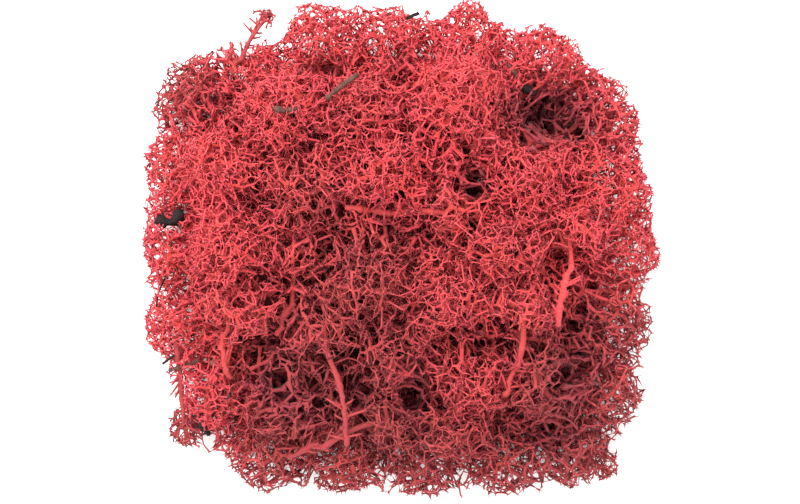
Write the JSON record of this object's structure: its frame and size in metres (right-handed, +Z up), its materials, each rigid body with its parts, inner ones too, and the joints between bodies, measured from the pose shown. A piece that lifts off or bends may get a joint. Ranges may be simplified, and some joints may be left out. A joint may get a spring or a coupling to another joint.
{
  "type": "reindeer moss clump",
  "caption": "Loose cushion of dyed, preserved reindeer moss: finely forked tufts packed side by side, with caught bits of forest litter, laid on a flat surface as plant decoration.",
  "frame": {"origin": "on the surface that the clump lies on, under the middle of its bounding box", "axes": "+Z up, +X along the clump's long side, +Y towards the side that its lying tufts point to"},
  "size_m": [0.1554, 0.1508, 0.0526],
  "materials": {
    "lichen": "matt, dyed coral red",
    "lichen_old": "matt, dyed dull red, older and browner",
    "twig": "dry grey-brown bark",
    "dark_bark": "dry black-brown bark"
  },
  "bodies": {
    "root": {"bark_hollow": "dark_bark", "bark_southwest": "dark_bark", "bark_west": "dark_bark", "base_east": "lichen_old", "base_south": "lichen_old", "base_west": "lichen_old", "crown": "lichen", "dome_east_high": "lichen", "dome_north": "lichen", "dome_northwest": "lichen", "dome_southeast": "lichen", "dome_southwest": "lichen", "dome_west": "lichen", "dome_west_high": "lichen", "foothill_east": "lichen", "foothill_middle": "lichen", "foothill_west": "lichen", "hollow": "lichen", "lower_east": "lichen", "lower_middle": "lichen", "lower_west": "lichen", "lying_fan": "lichen", "middle": "lichen", "middle_east": "lichen", "middle_south": "lichen", "middle_southeast": "lichen", "middle_west": "lichen", "needle_southwest": "dark_bark", "needle_west": "dark_bark", "rim_east": "lichen", "rim_east_high": "lichen", "rim_east_low": "lichen", "rim_north_1": "lichen", "rim_north_2": "lichen", "rim_north_3": "lichen", "rim_north_west": "lichen", "rim_northeast": "lichen", "rim_northwest": "lichen", "rim_south_1": "lichen", "rim_south_2": "lichen", "rim_south_3": "lichen", "rim_south_4": "lichen", "rim_south_5": "lichen", "rim_southeast": "lichen", "rim_southwest": "lichen", "rim_west": "lichen", "rim_west_high": "lichen", "rim_west_low": "lichen", "shoulder_east": "lichen", "shoulder_east_low": "lichen", "shoulder_southeast": "lichen", "spray_northwest": "lichen", "spray_southeast": "lichen", "spray_west": "lichen", "sunken_west": "lichen", "twig_broken": "twig", "twig_grey": "twig", "twig_hollow": "twig", "twig_north": "dark_bark", "twig_west": "twig"}
  },
  "joints": []
}
